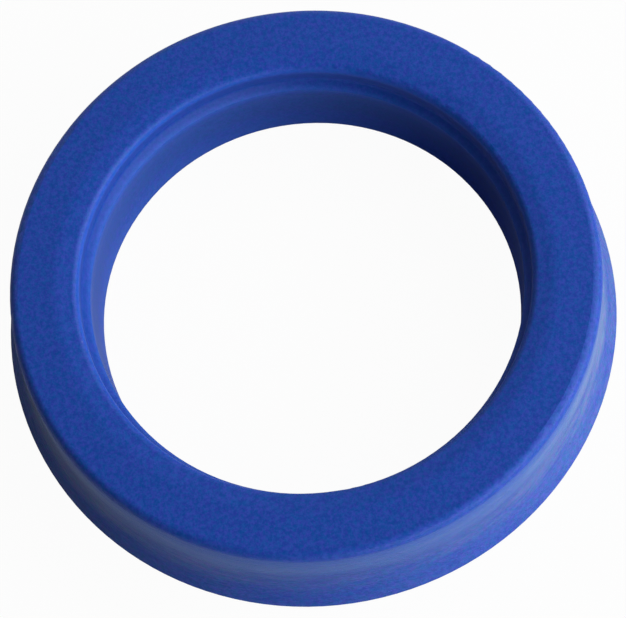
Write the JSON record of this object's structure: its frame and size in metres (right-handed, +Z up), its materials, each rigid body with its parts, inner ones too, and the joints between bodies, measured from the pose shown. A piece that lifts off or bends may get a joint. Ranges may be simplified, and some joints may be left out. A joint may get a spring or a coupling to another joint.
{
  "type": "u cup seal",
  "caption": "Polyurethane U-cup ring seal with a flat solid heel, a relieved bore, a guide land, and an inner and an outer sealing lip parted by a round-bottomed groove.",
  "frame": {"origin": "centre of the plane that the two lip tips stand on", "axes": "+Z up the ring's axis to the flat heel face; the groove between the lips opens towards -Z; +X and +Y are any two radii, because the ring is round"},
  "size_m": [0.0574, 0.0574, 0.0103],
  "materials": {
    "polyurethane": "matt satin, as moulded"
  },
  "bodies": {
    "root": {"u_cup_seal": "polyurethane"}
  },
  "joints": []
}
